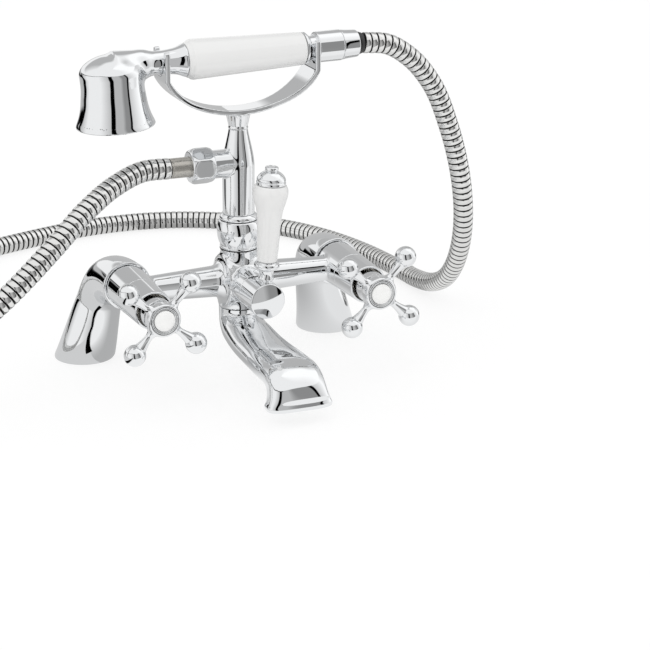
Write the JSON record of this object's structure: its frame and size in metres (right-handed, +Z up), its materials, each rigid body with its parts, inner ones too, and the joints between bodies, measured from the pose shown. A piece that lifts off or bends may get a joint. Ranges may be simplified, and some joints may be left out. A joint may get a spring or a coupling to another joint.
{
  "type": "bath shower mixer",
  "caption": "Deck-mounted bath shower mixer with cross handles, front diverter lever, wide spout, riser, fork cradle, lift-out handset and metal hose.",
  "frame": {"origin": "midway between the two inlets, on the face of the deck", "axes": "+X towards the cold side, -Y towards the bather and the spout's mouth, +Z up"},
  "size_m": [0.538, 0.4642, 0.229],
  "materials": {
    "chrome": "mirror-polished chrome plate on brass",
    "brass": "machined brass",
    "black_rubber": "smooth black rubber",
    "technical_ceramic": "lapped white ceramic",
    "white_ceramic": "glazed white ceramic",
    "index_enamel": "bare white enamel",
    "steel": "plain stainless steel",
    "satin_nickel": "satin nickel",
    "hose_steel": "interlocked stainless steel",
    "black_collar": "smooth black nylon",
    "grey_plastic": "moulded grey acetal"
  },
  "bodies": {
    "mixer": {"hot_leg": "chrome", "cold_leg": "chrome", "foot_gaskets": "black_rubber", "leg_unions": "brass", "leg_seal_rings": "black_rubber", "mixer_body": "chrome", "hot_shroud": "chrome", "cold_shroud": "chrome", "hot_cartridge": "brass", "cold_cartridge": "brass", "fixed_discs": "technical_ceramic", "cartridge_seals": "black_rubber", "diverter_cartridge": "brass", "diverter_fixed_disc": "technical_ceramic", "diverter_seal": "black_rubber", "spout": "chrome", "spout_nipple": "brass", "spout_o_ring": "black_rubber", "flow_straightener": "grey_plastic", "union_nut": "chrome", "union_washer": "black_rubber", "union_ring": "chrome", "riser": "chrome", "cradle": "chrome", "cradle_stud": "steel", "hose_nut": "chrome", "hose_washer": "black_rubber", "hose_nipple": "brass", "hose_ferrule": "satin_nickel", "shower_hose": "hose_steel"},
    "hot_handle": {"hot_cross_handle": "chrome", "hot_bezel": "chrome", "hot_index": "index_enamel", "hot_handle_screw": "steel", "hot_spindle": "brass", "hot_moving_disc": "technical_ceramic"},
    "cold_handle": {"cold_cross_handle": "chrome", "cold_bezel": "chrome", "cold_index": "index_enamel", "cold_handle_screw": "steel", "cold_spindle": "brass", "cold_moving_disc": "technical_ceramic"},
    "diverter_lever": {"diverter_cap": "chrome", "diverter_spindle": "brass", "diverter_moving_disc": "technical_ceramic", "lever_stem": "chrome", "lever_grip": "white_ceramic", "lever_rod": "steel", "lever_finial": "chrome"},
    "handset": {"handset_head": "chrome", "spray_plate": "chrome", "spray_screw": "steel", "handset_grip": "white_ceramic", "grip_washers": "grey_plastic", "handset_tube": "brass", "handset_tail": "chrome", "tail_washer": "black_rubber", "cone_nut": "chrome", "hose_end": "black_collar"}
  },
  "joints": [
    {"name": "hot_turn", "type": "hinge", "parent": "mixer", "child": "hot_handle", "pos_m": [-0.075, -0.1, 0.0645], "axis": [0, -1, 0], "range_deg": [0, 90]},
    {"name": "cold_turn", "type": "hinge", "parent": "mixer", "child": "cold_handle", "pos_m": [0.075, -0.1, 0.0645], "axis": [0, -1, 0], "range_deg": [-90, 0]},
    {"name": "diverter_turn", "type": "hinge", "parent": "mixer", "child": "diverter_lever", "pos_m": [0, -0.1, 0.0645], "axis": [0, -1, 0], "range_deg": [-45, 45]},
    {"name": "handset_lift", "type": "slide", "parent": "mixer", "child": "handset", "axis": [0, 0, 1], "range_m": [0, 0.08]}
  ]
}
